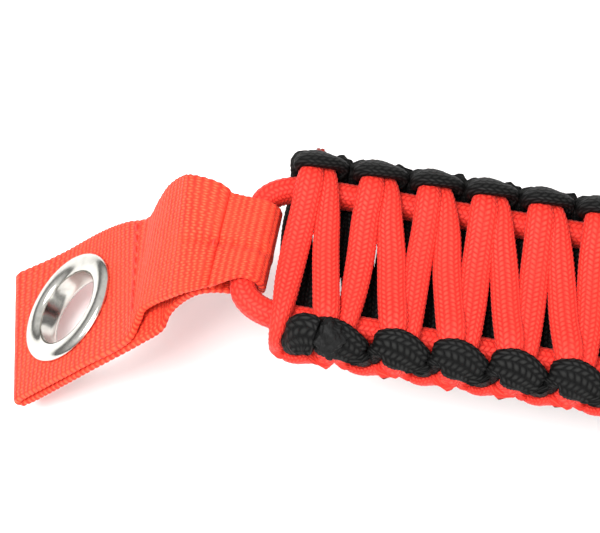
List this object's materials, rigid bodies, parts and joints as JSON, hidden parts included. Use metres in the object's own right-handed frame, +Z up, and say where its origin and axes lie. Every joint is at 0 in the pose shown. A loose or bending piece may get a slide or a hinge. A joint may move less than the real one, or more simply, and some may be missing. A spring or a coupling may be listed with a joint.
{
  "type": "woven cord tourniquet",
  "caption": "Flat woven cord strap with a webbing eyelet tab at one end, a windlass rod on a tape at the other, and a sliding keeper with a ring.",
  "frame": {"origin": "on the ground under the middle of the object's box", "axes": "+X along the strap from the eyelet tab to the windlass, +Y across the strap, +Z up out of the strap's front"},
  "size_m": [0.2956, 0.112, 0.0405],
  "materials": {
    "red_cord": "braided nylon cord",
    "black_cord": "braided nylon cord",
    "red_webbing": "ribbed nylon webbing",
    "red_thread": "sewing thread",
    "melted_red": "melted nylon",
    "melted_black": "melted nylon",
    "nickel": "bright nickel plate",
    "anodised_rod": "dark anodised aluminium",
    "black_rubber": "moulded rubber"
  },
  "bodies": {
    "strap": {"weave_front_cord": "red_cord", "weave_back_cord": "black_cord", "core_cord": "red_cord", "front_cord_sealed_ends": "melted_red", "back_cord_sealed_ends": "melted_black"},
    "eyelet_tab": {"eyelet_tab_webbing": "red_webbing", "eyelet_tab_cross_stitching": "red_thread", "eyelet_tab_edge_stitching": "red_thread", "eyelet_flange": "nickel", "eyelet_washer": "nickel"},
    "toggle_tab": {"toggle_tape": "red_webbing", "toggle_tape_stitching": "red_thread"},
    "windlass": {"windlass_rod": "anodised_rod", "rod_cap_left": "black_rubber", "rod_cap_right": "black_rubber", "rod_collar_left": "black_rubber", "rod_collar_right": "black_rubber"},
    "keeper": {"keeper_band": "red_webbing", "keeper_stitching": "red_thread", "keeper_ring_tunnel": "red_webbing", "tunnel_stitching": "red_thread"},
    "ring": {"keeper_ring": "nickel"}
  },
  "joints": [
    {"name": "eyelet_tab_swing", "type": "hinge", "parent": "strap", "child": "eyelet_tab", "pos_m": [-0.11001, 0, 0.02879], "axis": [0, 1, 0], "range_deg": [-75, 100]},
    {"name": "toggle_tab_swing", "type": "hinge", "parent": "strap", "child": "toggle_tab", "pos_m": [0.12674, 0, 0.02879], "axis": [0, 1, 0], "range_deg": [-130, 45]},
    {"name": "windlass_roll", "type": "hinge", "parent": "toggle_tab", "child": "windlass", "pos_m": [0.14229, 0, 0.0055], "axis": [0, 1, 0], "continuous": true},
    {"name": "keeper_slide", "type": "slide", "parent": "strap", "child": "keeper", "axis": [1, 0, 0], "range_m": [-0.155, 0.035]},
    {"name": "ring_flip", "type": "hinge", "parent": "keeper", "child": "ring", "pos_m": [0.07543, 0, 0.03822], "axis": [0, 1, 0], "range_deg": [0, 175]}
  ]
}
